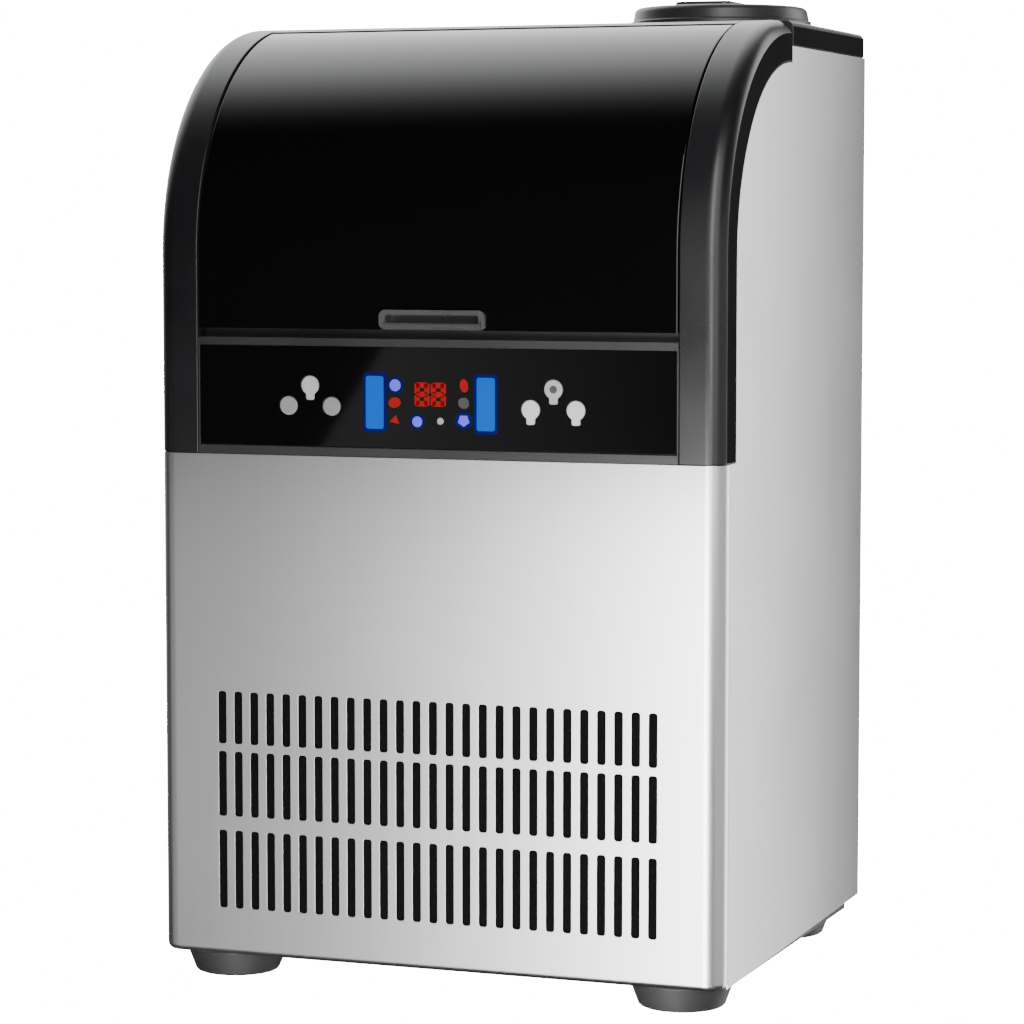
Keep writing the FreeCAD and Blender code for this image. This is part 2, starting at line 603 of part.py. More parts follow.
def ice_chute():
    """Slatted ramp that lets water through and turns the ice into the bin."""
    z0 = TROUGH_Z + TROUGH_H + 0.5
    y0 = TROUGH_Y0 - 10
    y1 = EVAP_Y + 4
    profile = [(y0, z0), (y0 + 6, z0), (y1, z0 + 15), (y1, z0 + 17), (y0, z0 + 3)]
    ramp = polygon_x(profile, -EVAP_X, EVAP_X)
    gaps = [box(-EVAP_X + 8 + n * 12, -EVAP_X + 14 + n * 12, y0 + 14, y1 - 3, z0 - 1, z0 + 30)
            for n in range(14)]
    return cut(ramp, gaps).translated(EVAP_SHIFT)


def pump_body():
    """Submersible pump: motor above, scroll below with an open eye."""
    x, y, z = PUMP_X, TROUGH_MID, TROUGH_Z + 3
    body = fuse([
        rod(15, V(x, y, z), V(x, y, z + 14)),
        box(x, x + 25, y - 4, y + 4, z + 3, z + 11),
        rod(4.5, V(x + PUMP_OUT, y, z + 7), V(x + PUMP_OUT, y, z + 30)),
    ])
    return cut(body, [
        rod(12, V(x, y, z + 2), V(x, y, z + 11)),
        rod(6, V(x, y, z - 1), V(x, y, z + 3)),
        rod(SHAFT_R + 0.04, V(x, y, z + 5), V(x, y, z + 20)),
    ])


def pump_motor():
    """Sealed motor over the pump's scroll."""
    x, y, z = PUMP_X, TROUGH_MID, TROUGH_Z + 17.2
    return cut(fuse([rod(13, V(x, y, z), V(x, y, z + 24)), rod(6, V(x, y, z + 23), V(x, y, z + 27))]),
               [rod(SHAFT_R + 0.04, V(x, y, z - 1), V(x, y, z + 12))])


def pump_impeller():
    """Six-vane impeller on its shaft."""
    x, y, z = PUMP_X, TROUGH_MID, TROUGH_Z + 5.5
    vanes = []
    for n in range(6):
        vane = box(x + 1, x + 10.5, y - 0.7, y + 0.7, z, z + 6)
        vane.rotate(V(x, y, z), V(0, 0, 1), 60 * n)
        vanes.append(vane)
    return fuse([rod(3.2, V(x, y, z), V(x, y, z + 7)), rod(SHAFT_R, V(x, y, z), V(x, y, z + 22))] + vanes)


def float_switch():
    """Stem of the float switch, with a foot below and a cap above the float."""
    x, y, z = FLOAT_X, TROUGH_MID, TROUGH_Z + 2.2
    return fuse([
        rod(8, V(x, y, z), V(x, y, z + 3)),
        rod(4, V(x, y, z), V(x, y, z + 34)),
        rod(7, V(x, y, z + 31), V(x, y, z + 35)),
    ])


def water_float():
    """Ring float that slides on the stem."""
    x, y, z = FLOAT_X, TROUGH_MID, TROUGH_Z + 2.2 + 3.3
    return ring(12, 4.08, V(x, y, z), V(x, y, z + 14))


def riser_hose():
    """Hose from the pump up to the distributor."""
    start = V(PUMP_X + PUMP_OUT, TROUGH_MID, TROUGH_Z + 33.3)
    end = V(EVAP_X - 8, EVAP_Y + 3.3, EVAP_Z1 + 14) + EVAP_SHIFT
    back = BIN_Y1 - 14
    points = [start, start + V(0, 0, 18), V(84, back, start.z + 38), V(84, back, end.z - 22),
              V(end.x, back, end.z), end]
    return pipe(points, 5.0, 6.0)


def drain_hose():
    """Hose from the bin's floor to the drain spout."""
    x, z = DRAIN
    top = V(BIN_X - 20, BIN_Y1 - 20, BIN_Z0 + 1.5)
    points = [top, V(top.x, top.y, 190), V(x, top.y - 4, 130), V(x, top.y - 4, z),
              V(x, YB - RECESS_D - 14 - GAP, z)]
    return pipe(points, 6.0, 8.0)


def bottle_hose():
    """Straight hose from the bottle seat's spigot down into the trough."""
    x, y = BOTTLE
    return rod(5.5, V(x, y, TROUGH_Z + TROUGH_H - 12), V(x, y, ZS - 62 - GAP))


# ---------------------------------------------------------------- refrigeration side
COND_X = 138.0
COND_Z0 = 34.0
COND_Z1 = 194.0
COND_Y0 = YF + 9.0
COND_D = 26.0
TUBE_R = 4.5
TUBE_PITCH = 26.0
TUBE_LEVELS = 6
ROW_FRONT = COND_Y0 + 6.5
ROW_REAR = COND_Y0 + 19.5
FAN_X = 55.0
FAN_Z = 112.0
FAN_R = 73.0
FAN_Y = YF + 64.0
COMP_X = -92.0
COMP_Y = 18.0
COMP_R = 60.0
PAN_TOP = ZB + 1.5


def air_filter():
    """Dark foam filter behind the front slots."""
    return rounded_box(-154, 154, YF + 1.6, YF + 5.6, ZB + 22, ZB + 176, 4.0, 1)


def tube_height(level):
    """Height of one level of the condenser's tubes."""
    return COND_Z0 + 15 + TUBE_PITCH * level


def condenser_fins():
    """Fin pack held by its top and bottom plates."""
    y1 = COND_Y0 + COND_D
    plates = [box(-COND_X, COND_X, COND_Y0, y1, z, z + 1.5) for z in (COND_Z0 - 1.5, COND_Z1)]
    count = 35
    pitch = (2 * COND_X - 0.8) / (count - 1)
    fins = [box(-COND_X + n * pitch, -COND_X + n * pitch + 0.8, COND_Y0, y1, COND_Z0, COND_Z1)
            for n in range(count)]
    holes = [rod(TUBE_R + 0.1, V(-COND_X - 1, y, tube_height(n)), V(COND_X + 1, y, tube_height(n)))
             for y in (ROW_FRONT, ROW_REAR) for n in range(TUBE_LEVELS)]
    holes_shape = Part.makeCompound(holes)
    fins = [fin.cut(holes_shape) for fin in fins]
    return fuse(plates + fins)


def condenser_tubes():
    """One serpentine tube through both rows of the fin pack."""
    end = COND_X + 14
    levels = list(range(TUBE_LEVELS))
    stops = [(ROW_REAR, n) for n in levels] + [(ROW_FRONT, n) for n in levels[::-1]]
    points = []
    for step, (y, level) in enumerate(stops):
        side = -1 if step % 2 == 0 else 1
        points.append(V(-side * end, y, tube_height(level)))
        points.append(V(side * end, y, tube_height(level)))
    points[0].x += 2
    points[-1].x += 2
    return pipe(points, TUBE_R, 6.2)


def fan_shroud():
    """Shroud from the condenser to the fan's collar."""
    y0 = COND_Y0 + COND_D + GAP
    y1 = YF + 62
    x0, x1 = FAN_X - 88, FAN_X + 88
    z0, z1 = COND_Z0, COND_Z1 - 2
    outer = box(x0, x1, y0, y1, z0, z1)
    inner = box(x0 + 2, x1 - 2, y0 - 1, y1 - 2, z0 + 2, z1 - 2)
    collar = rod(FAN_R + 4.5, V(FAN_X, y1 - 1, FAN_Z), V(FAN_X, y1 + 18, FAN_Z))
    throat = rod(FAN_R + 2.5, V(FAN_X, y0 - 1, FAN_Z), V(FAN_X, y1 + 20, FAN_Z))
    return fuse([outer.cut(inner), collar]).cut(throat)


def fan_motor():
    """Fan motor on four arms that stand on the shroud."""
    motor = rod(23, V(FAN_X, FAN_Y + 27, FAN_Z), V(FAN_X, FAN_Y + 58, FAN_Z))
    pieces = [motor.makeFillet(3.0, [e for e in motor.Edges if e.BoundBox.YLength < 0.01])]
    for n in range(4):
        turn = math.radians(45 + 90 * n)
        out = V(math.cos(turn), 0, math.sin(turn))
        hub = V(FAN_X, FAN_Y + 40, FAN_Z)
        tip = hub + out * 82.5
        pieces.append(rod(3.0, hub + out * 18, tip))
        pieces.append(rod(3.4, V(tip.x, YF + 62, tip.z), V(tip.x, FAN_Y + 43.4, tip.z)))
    return fuse(pieces).cut(rod(3.05, V(FAN_X, FAN_Y + 20, FAN_Z), V(FAN_X, FAN_Y + 44, FAN_Z)))


def fan_blade():
    """Five pitched blades on a hub, with the shaft that turns in the motor."""
    hub = rod(17, V(FAN_X, FAN_Y, FAN_Z), V(FAN_X, FAN_Y + 20, FAN_Z))
    shaft = rod(3.0, V(FAN_X, FAN_Y + 19, FAN_Z), V(FAN_X, FAN_Y + 42, FAN_Z))
    limit = rod(FAN_R, V(FAN_X, FAN_Y - 5, FAN_Z), V(FAN_X, FAN_Y + 26, FAN_Z))
    limit = limit.cut(rod(12, V(FAN_X, FAN_Y - 6, FAN_Z), V(FAN_X, FAN_Y + 27, FAN_Z)))
    blades = []
    for n in range(5):
        blade = box(FAN_X + 12, FAN_X + FAN_R + 5, FAN_Y + 9, FAN_Y + 11, FAN_Z - 24, FAN_Z + 24)
        blade.rotate(V(FAN_X, FAN_Y + 10, FAN_Z), V(1, 0, 0), 24)
        blade.rotate(V(FAN_X, 0, FAN_Z), V(0, 1, 0), 72 * n)
        blades.append(blade.common(limit))
    return fuse([hub, shaft] + blades)


def compressor():
    """Welded shell on a foot plate, hollow inside."""
    z0, z1 = PAN_TOP + 13, 175.0
    shell = rod(COMP_R, V(COMP_X, COMP_Y, z0), V(COMP_X, COMP_Y, z1))
    shell = shell.makeFillet(24.0, [e for e in shell.Edges if e.BoundBox.ZLength < 0.01])
    inner = rod(COMP_R - 6, V(COMP_X, COMP_Y, z0 + 6), V(COMP_X, COMP_Y, z1 - 6))
    inner = inner.makeFillet(18.0, [e for e in inner.Edges if e.BoundBox.ZLength < 0.01])
    seam = rod(COMP_R + 2, V(COMP_X, COMP_Y, 108), V(COMP_X, COMP_Y, 113))
    plate = rounded_box(COMP_X - 66, COMP_X + 66, COMP_Y - 50, COMP_Y + 50, z0 - 3, z0 + 0.5, 10.0, 2)
    return fuse([shell, seam, plate]).cut(inner)


COMP_FEET = [(COMP_X + dx, COMP_Y + dy) for dx in (-55, 55) for dy in (-39, 39)]


def compressor_grommets():
    """Four rubber mounts under the compressor's plate."""
    return Part.makeCompound([rod(9, V(x, y, PAN_TOP), V(x, y, PAN_TOP + 10)) for x, y in COMP_FEET])


def compressor_terminal_cover():
    """Clip-on cover over the compressor's terminals."""
    x = COMP_X + COMP_R + 2 + GAP
    return rounded_box(x, x + 17, COMP_Y - 22, COMP_Y + 22, 76, 128, 3.0, 0)


def filter_drier():
    """Copper drier with swaged ends."""
    y = 118.0
    return fuse([
        rod(11, V(0, y, 60), V(0, y, 120)),
        Part.makeCone(4, 11, 7, V(0, y, 53)),
        Part.makeCone(11, 4, 7, V(0, y, 120)),
    ])


def refrigerant_pipes():
    """Discharge, liquid, feed and suction lines."""
    back = YR - 14
    coil_y = EVAP_Y + 6.5
    level = tube_height(0)
    end = COND_X + 16 + GAP
    top = 175 + GAP
    discharge = [V(end, ROW_REAR, level), V(end + 14, ROW_REAR, level), V(168, -60, 90),
                 V(168, -60, 200), V(COMP_X + 22, 0, 200), V(COMP_X + 22, 0, top)]
    liquid = [V(end, ROW_FRONT, level), V(172, ROW_FRONT, level), V(172, 118, 27),
              V(0, 118, 27), V(0, 118, 53 - GAP)]
    feed_x, feed_z = FEED
    back_x, back_z = SUCTION
    coil_x = -EVAP_X + 6 - GAP + EVAP_SHIFT.x
    feed = [V(coil_x + 2, coil_y, feed_z), V(feed_x, coil_y, feed_z), V(feed_x, back, feed_z),
            V(feed_x, back, 180), V(0, 118, 160), V(0, 118, 127 + GAP)]
    suction = [V(coil_x, coil_y, back_z), V(back_x, coil_y, back_z), V(back_x, back, back_z),
               V(back_x, back, 196), V(COMP_X, COMP_Y + 20, 196), V(COMP_X, COMP_Y + 20, top)]
    return Part.makeCompound([
        pipe(discharge, 3.2, 8.0),
        pipe(liquid, 3.2, 8.0),
        pipe(feed, 3.2, 8.0),
        pipe(suction, 4.2, 10.0),
    ])


# ---------------------------------------------------------------- rear fittings
def water_inlet_valve():
    """Solenoid valve whose threaded inlet stands in the rear pocket."""
    x, z = INLET
    wall = YB - RECESS_D
    collar = rod(COLLAR_R, V(x, wall - 12, z), V(x, wall + 2, z))
    thread = rod(INLET_R, V(x, wall + 1, z), V(x, YB - 7, z))
    flange = rod(18, V(x, wall - 5, z), V(x, wall - GAP, z))
    body = box(x - 15, x + 15, wall - 34, wall - 11, z - 15, z + 15)
    coil = rounded_box(x - 14, x + 14, wall - 36, wall - 9, z + 14, z + 48, 6.0, 2)
    return fuse([collar, thread, flange, body, coil]).cut(rod(8, V(x, wall - 8, z), V(x, YB, z)))


def drain_spout():
    """Drain spout in the rear pocket."""
    x, z = DRAIN
    wall = YB - RECESS_D
    spout = ring(SPOUT_R, 5.5, V(x, wall - 14, z), V(x, YB - 8, z))
    flange = ring(13, 5.5, V(x, wall - 4, z), V(x, wall - GAP, z))
    return fuse([spout, flange])


def drain_cap():
    """Push-on cap over the drain spout."""
    x, z = DRAIN
    cap = rod(SPOUT_R + 2.6, V(x, YB - 20, z), V(x, YB - 4, z))
    rib = rod(SPOUT_R + 3.6, V(x, YB - 20, z), V(x, YB - 17, z))
    return fuse([cap, rib]).cut(rod(SPOUT_R + 0.08, V(x, YB - 21, z), V(x, YB - 7.5, z)))


def mains_inlet():
    """Three-pin appliance inlet."""
    x, z = MAINS
    body = rounded_box(x - 13.7, x + 13.7, YB - 26, YB + 1.5, z - 10.7, z + 10.7, 3.0, 1)
    body = body.cut(rounded_box(x - 11, x + 11, YB - 17, YB + 2, z - 7.5, z + 7.5, 3.0, 1))
    pins = [box(x + px - 1, x + px + 1, YB - 18, YB - 4, z + pz - 2, z + pz + 2)
            for px, pz in ((-7, -2), (0, 2), (7, -2))]
    return fuse([body] + pins)


def control_box():
    """Housing of the main circuit board, on the left wall."""
    return rounded_box(-XI + 1, -BIN_X - 21, -20, 110, 230, 380, 3.0, 0)


def screws():
    """Dome-head screws of the rear panel."""
    heads = []
    for x in (-176.0, 176.0):
        for z in (40.0, 220.0, 400.0, 570.0):
            head = rod(3.8, V(x, YB, z), V(x, YB + 1.6, z))
            head = head.makeFillet(1.2, [e for e in head.Edges if e.BoundBox.YMin > YB + 1.5])
            heads.append(head)
    return Part.makeCompound(heads)


# ---------------------------------------------------------------- write every piece
def main():
    pieces = {
        "front_panel": front_panel(),
        "left_side_panel": side_panel(-1),
        "right_side_panel": side_panel(1),
        "rear_panel": rear_panel(),
        "base_pan": base_pan(),
        "left_end_cheek": end_cheek(-1),
        "right_end_cheek": end_cheek(1),
        "top_cover": top_cover(),
        "bottle_seat": bottle_seat(),
        "bottle_seat_cap": bottle_seat_cap(),
        "lid": lid(),
        "lid_liner": lid_liner(),
        "lid_handle": lid_handle(),
        "lid_hinge_pins": lid_hinge_pins(),
        "control_fascia": control_fascia(),
        "display_window": display_window(),
        "key_board": key_board(),
        "display_module": display_module(),
        "bin_liner": bin_liner(),
        "bin_insulation": bin_insulation(),
        "bin_front_throat": bin_front_throat(),
        "evaporator_plate": evaporator_plate(),
        "evaporator_coil": evaporator_coil(),
        "water_distributor": water_distributor(),
        "splash_curtain": splash_curtain(),
        "water_trough": water_trough(),
        "ice_chute": ice_chute(),
        "pump_body": pump_body(),
        "pump_motor": pump_motor(),
        "pump_impeller": pump_impeller(),
        "float_switch": float_switch(),
        "water_float": water_float(),
        "water_hoses": Part.makeCompound([riser_hose(), bottle_hose(), drain_hose()]),
        "air_filter": air_filter(),
        "condenser_fins": condenser_fins(),
        "condenser_tubes": condenser_tubes(),
        "fan_shroud": fan_shroud(),
        "fan_motor": fan_motor(),
        "fan_blade": fan_blade(),
        "compressor": compressor(),
        "compressor_grommets": compressor_grommets(),
        "compressor_terminal_cover": compressor_terminal_cover(),
        "filter_drier": filter_drier(),
        "refrigerant_pipes": refrigerant_pipes(),
        "water_inlet_valve": water_inlet_valve(),
        "drain_spout": drain_spout(),
        "drain_cap": drain_cap(),
        "mains_inlet": mains_inlet(),
        "control_box": control_box(),
        "screws": screws(),
    }
    for name, (x, y) in FEET.items():
        pieces[name] = foot(x, y)
    for name in KEYS:
        pieces[name] = key(name)
    for name, shape in pieces.items():
        save(name, shape)


main()
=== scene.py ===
"""Counter-top ice maker: shells, trims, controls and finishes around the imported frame. Metres."""
import math

import bmesh
import bpy
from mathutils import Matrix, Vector


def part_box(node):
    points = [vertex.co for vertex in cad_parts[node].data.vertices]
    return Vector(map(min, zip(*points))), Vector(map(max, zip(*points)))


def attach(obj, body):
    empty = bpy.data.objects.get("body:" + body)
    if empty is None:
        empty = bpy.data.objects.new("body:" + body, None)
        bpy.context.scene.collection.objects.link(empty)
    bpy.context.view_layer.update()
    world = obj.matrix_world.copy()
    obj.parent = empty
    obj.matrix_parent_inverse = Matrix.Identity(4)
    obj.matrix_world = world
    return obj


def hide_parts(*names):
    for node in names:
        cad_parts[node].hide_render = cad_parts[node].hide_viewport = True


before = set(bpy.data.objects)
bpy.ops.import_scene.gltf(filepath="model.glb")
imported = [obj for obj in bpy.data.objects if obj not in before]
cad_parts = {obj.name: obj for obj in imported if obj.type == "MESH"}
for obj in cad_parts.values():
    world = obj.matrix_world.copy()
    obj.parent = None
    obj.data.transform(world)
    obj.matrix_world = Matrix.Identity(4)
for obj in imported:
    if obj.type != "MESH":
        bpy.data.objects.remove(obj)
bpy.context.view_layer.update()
MM = 0.001

# ---------------------------------------------------------------- places read from the frame
front_lo, front_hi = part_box("front_panel")
cheek_lo, cheek_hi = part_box("right_end_cheek")
lid_lo, lid_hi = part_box("lid")
window_lo, window_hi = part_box("display_window")
pull_lo, pull_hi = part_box("lid_handle")
XS = front_hi.x                       # outer face of the sides
YF = front_lo.y                       # front face
ZB = front_lo.z                       # lower edge of the panels
ZP = front_hi.z                       # top of the front panel
XJ = cheek_lo.x                       # inner face of the right cheek
YC = cheek_hi.y                       # axis of the arch
ZT = cheek_hi.z                       # top of the arch
ARCH_R = YC - YF
ZC = ZT - ARCH_R
PULL_W = pull_hi.x - pull_lo.x        # width of the finger pull

# ---------------------------------------------------------------- sizes of the details
CHEEK_D = 26 * MM
CORNER_R = 12 * MM
WALL = 2.5 * MM
SLOT_WIDE = 5.4 * MM
SLOT_PITCH = 10.9 * MM
SLOTS_ASIDE = 13                      # columns on each side of the middle one
SLOT_ROWS = ((30.0, 79.5), (88.5, 129.5), (134.5, 167.5))     # millimetres above the lower edge
BARS_Z = 350.5 * MM                   # middle of the level bars, above the lower edge
DIGITS_Z = 355.9 * MM                 # middle of the digits

# ---------------------------------------------------------------- light and camera
AIR_FROM = (-0.5, 0.6, 0.62)          # the brightest air is above, behind and to the left
AIR_FALL = 2.6                        # how fast it dims away from there
AIR_DARK = 0.02                       # strength in front
AIR_BRIGHT = 3.4                      # share added where it is brightest
AIR_SEEN = 24.0                       # backdrop as the camera sees it
CAMERA_LENS = 121.0                   # millimetres on a 36 mm sensor
CAMERA_AT = (0.7653, YF - 1.9466, ZB + 0.4632)
CAMERA_SIDE = 20.13                   # degrees to the right of the front
CAMERA_DOWN = 4.89                    # degrees below level


# ---------------------------------------------------------------- modelling helpers
def calm():
    """Object mode with nothing selected."""
    if bpy.context.object and bpy.context.object.mode != "OBJECT":
        bpy.ops.object.mode_set(mode="OBJECT")
    bpy.ops.object.select_all(action="DESELECT")


def wake(piece):
    """Make one piece the only selected and active one."""
    calm()
    piece.select_set(True)
    bpy.context.view_layer.objects.active = piece
    return piece


def settle(piece):
    """Put a piece's place, turn and size into its mesh."""
    wake(piece)
    bpy.ops.object.transform_apply(location=True, rotation=True, scale=True)
    return piece


def block(name, low, high):
    """Box between two corners, as a start for shaping."""
    calm()
    low = Vector(low)
    high = Vector(high)
    bpy.ops.mesh.primitive_cube_add(size=1, location=(low + high) / 2, scale=high - low)
    piece = bpy.context.object
    piece.name = name
    return settle(piece)


def disc(name, centre, radius, depth, turn=(0, 0, 0), around=48):
    """Round bar, as a start for shaping."""
    calm()
    bpy.ops.mesh.primitive_cylinder_add(
        vertices=around, radius=radius, depth=depth, location=centre, rotation=turn)
    piece = bpy.context.object
    piece.name = name
    return settle(piece)


def strip(name, x0, x1, y, z0, z1):
    """Upright sheet facing the front."""
    calm()
    bpy.ops.mesh.primitive_plane_add(
        size=1, location=((x0 + x1) / 2, y, (z0 + z1) / 2), rotation=(math.pi / 2, 0, 0))
    piece = bpy.context.object
    piece.name = name
    piece.scale = (x1 - x0, z1 - z0, 1)
    return settle(piece)


def pick(piece, kind, test):
    """Edit mode with the edges or faces selected whose middle (and itself) pass the test."""
    wake(piece)
    bpy.ops.object.mode_set(mode="EDIT")
    bpy.ops.mesh.select_mode(type=kind)
    bpy.ops.mesh.select_all(action="DESELECT")
    net = bmesh.from_edit_mesh(piece.data)
    found = net.edges if kind == "EDGE" else net.faces
    for item in found:
        middle = sum((v.co for v in item.verts), Vector()) / len(item.verts)
        item.select_set(bool(test(middle, item)))
    net.select_flush_mode()
    bmesh.update_edit_mesh(piece.data)


def done(piece):
    """Back to object mode."""
    bpy.ops.object.mode_set(mode="OBJECT")
    return piece


def clean(piece, outwards=True):
    """Merge doubles and turn the faces outwards."""
    wake(piece)
    bpy.ops.object.mode_set(mode="EDIT")
    bpy.ops.mesh.select_all(action="SELECT")
    bpy.ops.mesh.remove_doubles(threshold=0.00002)
    if outwards:
        bpy.ops.mesh.normals_make_consistent(inside=False)
    return done(piece)


def change(piece, kind, **settings):
    """Add a modifier and apply it."""
    wake(piece)
    modifier = piece.modifiers.new(kind.title(), kind)
    for key, value in settings.items():
        setattr(modifier, key, value)
    bpy.ops.object.modifier_apply(modifier=modifier.name)
    return piece


def smooth(piece):
    """Shade smooth, with the large faces kept flat."""
    wake(piece)
    bpy.ops.object.shade_smooth_by_angle(angle=math.radians(35))
    return change(piece, "WEIGHTED_NORMAL", keep_sharp=True, weight=90)


def soften(piece, width, segments=3, angle=40):
    """Round every sharp edge and shade smooth."""
    change(piece, "BEVEL", width=width, segments=segments, limit_method="ANGLE",
           angle_limit=math.radians(angle), use_clamp_overlap=True, harden_normals=False)
    return smooth(piece)


def facing_front(piece):
    """Turn an open sheet's faces so that its foremost face looks to the front."""
    foremost = min(piece.data.polygons, key=lambda face: face.center.y)
    if foremost.normal.y > 0:
        wake(piece)
        bpy.ops.object.mode_set(mode="EDIT")
        bpy.ops.mesh.select_all(action="SELECT")
        bpy.ops.mesh.flip_normals()
        done(piece)
    return piece


def along(way, axis):
    """True when an edge runs along an axis."""
    return abs(way.normalized()[axis]) > 0.999


def edge_way(edge):
    """The way an edge runs, as a vector."""
    return edge.verts[1].co - edge.verts[0].co


def raise_piece(piece):
    """Bring a lit inlay a little in front of the one behind it."""
    wake(piece)
    bpy.ops.object.mode_set(mode="EDIT")
    bpy.ops.mesh.select_all(action="SELECT")
    bpy.ops.transform.translate(value=(0, -0.12 * MM, 0))
    done(piece)


def join(name, parts):
    """One piece out of several."""
    calm()
    for part in parts:
        part.select_set(True)
    bpy.context.view_layer.objects.active = parts[0]
    if len(parts) > 1:
        bpy.ops.object.join()
    piece = bpy.context.object
    piece.name = name
    return piece


def mirrored(piece, name):
    """A copy on the other side of the middle, with its own mesh."""
    wake(piece)
    bpy.ops.object.duplicate(linked=False)
    other = bpy.context.object
    other.name = name
    other.scale.x = -1
    settle(other)
    return clean(other)


def refined(node, name, width, segments=2):
    """A node's own shape, merged and with its sharp edges rounded."""
    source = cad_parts[node]
    calm()
    copy = source.copy()
    copy.data = source.data.copy()
    copy.name = name
    bpy.context.scene.collection.objects.link(copy)
    for key in list(copy.keys()):
        if key.startswith("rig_"):
            del copy[key]
    clean(copy, outwards=False)
    bpy.ops.object.mode_set(mode="EDIT")
    bpy.ops.mesh.select_all(action="SELECT")
    bpy.ops.mesh.dissolve_limited(angle_limit=math.radians(0.5))
    done(copy)
    return soften(copy, width, segments)


def place(piece, body, material, slot, *nodes):
    """Give a finished piece its body and material, and hide the nodes it stands for; the slot is not
    used.
    """
    piece.data.materials.clear()
    piece.data.materials.append(material)
    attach(piece, body)
    if nodes:
        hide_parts(*nodes)
    return piece


# ---------------------------------------------------------------- kinds of material
class Finish:
    """A Principled material with a few node shortcuts."""

    def __init__(self, name, colour, roughness, **sockets):
        self.material = bpy.data.materials.new(name)
        self.material.use_nodes = True
        self.tree = self.material.node_tree
        self.shader = self.tree.nodes["Principled BSDF"]
        self.set(**{"Base Color": (*colour, 1), "Roughness": roughness})
        self.set(**sockets)
        self.where = self.tree.nodes.new("ShaderNodeTexCoord").outputs["Object"]

    def set(self, **sockets):
        for key, value in sockets.items():
            self.shader.inputs[key.replace("_", " ")].default_value = value

    def add(self, kind, inputs=None, **settings):
        node = self.tree.nodes.new("ShaderNode" + kind)
        for key, value in settings.items():
            setattr(node, key, value)
        for key, value in (inputs or {}).items():
            if hasattr(value, "is_linked") and hasattr(value, "node"):
                self.tree.links.new(value, node.inputs[key])
            else:
                node.inputs[key].default_value = value
        return node

    def link(self, source, socket):
        self.tree.links.new(source, self.shader.inputs[socket])

    def grain(self, scale, size, detail=4.0):
        """Noise stretched by scale along each axis."""
        mapped = self.add("Mapping", {"Vector": self.where, "Scale": scale})
        noise = self.add("TexNoise", {"Vector": mapped.outputs[0], "Scale": size, "Detail": detail})
        return noise.outputs["Fac"]

    def spread(self, value, low, high):
        """A 0 to 1 value turned into the range low to high."""
        return self.add("MapRange", {"Value": value, "From Min": 0.25, "From Max": 0.75,
                                     "To Min": low, "To Max": high}).outputs[0]

    def bump(self, height, strength, distance):
        node = self.add("Bump", {"Height": height, "Strength": strength, "Distance": distance})
        self.link(node.outputs[0], "Normal")
        return node

    def shade(self, value, dark, light):
        """Base colour between two colours."""
        ramp = self.add("ValToRGB", {"Fac": value})
        ramp.color_ramp.elements[0].position = 0.3
        ramp.color_ramp.elements[1].position = 0.7
        ramp.color_ramp.elements[0].color = (*dark, 1)
        ramp.color_ramp.elements[1].color = (*light, 1)
        self.link(ramp.outputs[0], "Base Color")


def brushed_steel(name="stainless brushed", along_axis=2, tone=0.62):
    """Stainless sheet with fine brushing along one axis and faint handling marks."""
    finish = Finish(name, (tone, tone, tone), 0.3, Metallic=1.0, Anisotropic=0.35)
    stretch = [1.0, 1.0, 1.0]
    stretch[along_axis] = 0.012
    fine = finish.grain(stretch, 2600, 3)
    broad = finish.grain(stretch, 420, 2)
    smudge = finish.grain((1, 1, 1), 9, 3)
    mix = finish.add("Math", {0: fine, 1: broad}, operation="ADD").outputs[0]
    half = finish.add("Math", {0: mix, 1: 0.5}, operation="MULTIPLY").outputs[0]
    finish.shade(half, (tone * 0.975,) * 3, (tone * 1.02,) * 3)
    rough = finish.spread(half, 0.28, 0.31)
    wear = finish.spread(smudge, -0.01, 0.015)
    finish.link(finish.add("Math", {0: rough, 1: wear}, operation="ADD").outputs[0], "Roughness")
    finish.bump(half, 0.008, 0.0001)
    return finish.material


def moulded(name, colour, roughness, texture=1500, depth=0.12, spread=0.06, gloss=0.5):
    """Moulded plastic with a fine spark-eroded texture and slight uneven sheen."""
    finish = Finish(name, colour, roughness)
    finish.set(**{"Specular IOR Level": gloss})
    fine = finish.grain((1, 1, 1), texture, 2)
    patches = finish.grain((1, 1, 1), 14, 3)
    finish.shade(patches, tuple(c * 0.88 for c in colour), tuple(min(1, c * 1.1) for c in colour))
    finish.link(finish.spread(patches, max(0.02, roughness - spread), roughness + spread), "Roughness")
    finish.bump(fine, depth, 0.0001)
    return finish.material


def polished_black(name="polished black"):
    """Deep glossy black with a trace of orange peel and fine hairline wear."""
    finish = Finish(name, (0.0015, 0.0015, 0.0018), 0.04)
    finish.set(**{"IOR": 1.48})
    peel = finish.grain((1, 1, 1), 55, 2)
    hair = finish.grain((1, 0.02, 1), 900, 2)
    finish.link(finish.spread(hair, 0.03, 0.06), "Roughness")
    finish.bump(peel, 0.004, 0.0003)
    return finish.material


def foam(name, colour, cell=900):
    """Open foam or cast texture with cells."""
    finish = Finish(name, colour, 0.9)
    mapped = finish.add("Mapping", {"Vector": finish.where})
    cells = finish.add("TexVoronoi", {"Vector": mapped.outputs[0], "Scale": cell}).outputs["Distance"]
    finish.shade(cells, tuple(c * 0.5 for c in colour), colour)
    finish.bump(cells, 0.5, 0.0006)
    finish.set(**{"Specular IOR Level": 0.1})
    return finish.material


def metal(name, colour, roughness, size=300):
    """Plain drawn or plated metal."""
    finish = Finish(name, colour, roughness, Metallic=1.0)
    tone = finish.grain((1, 1, 1), size, 4)
    finish.shade(tone, tuple(c * 0.82 for c in colour), colour)
    finish.link(finish.spread(tone, roughness - 0.06, roughness + 0.08), "Roughness")
    finish.bump(tone, 0.06, 0.0002)
    return finish.material


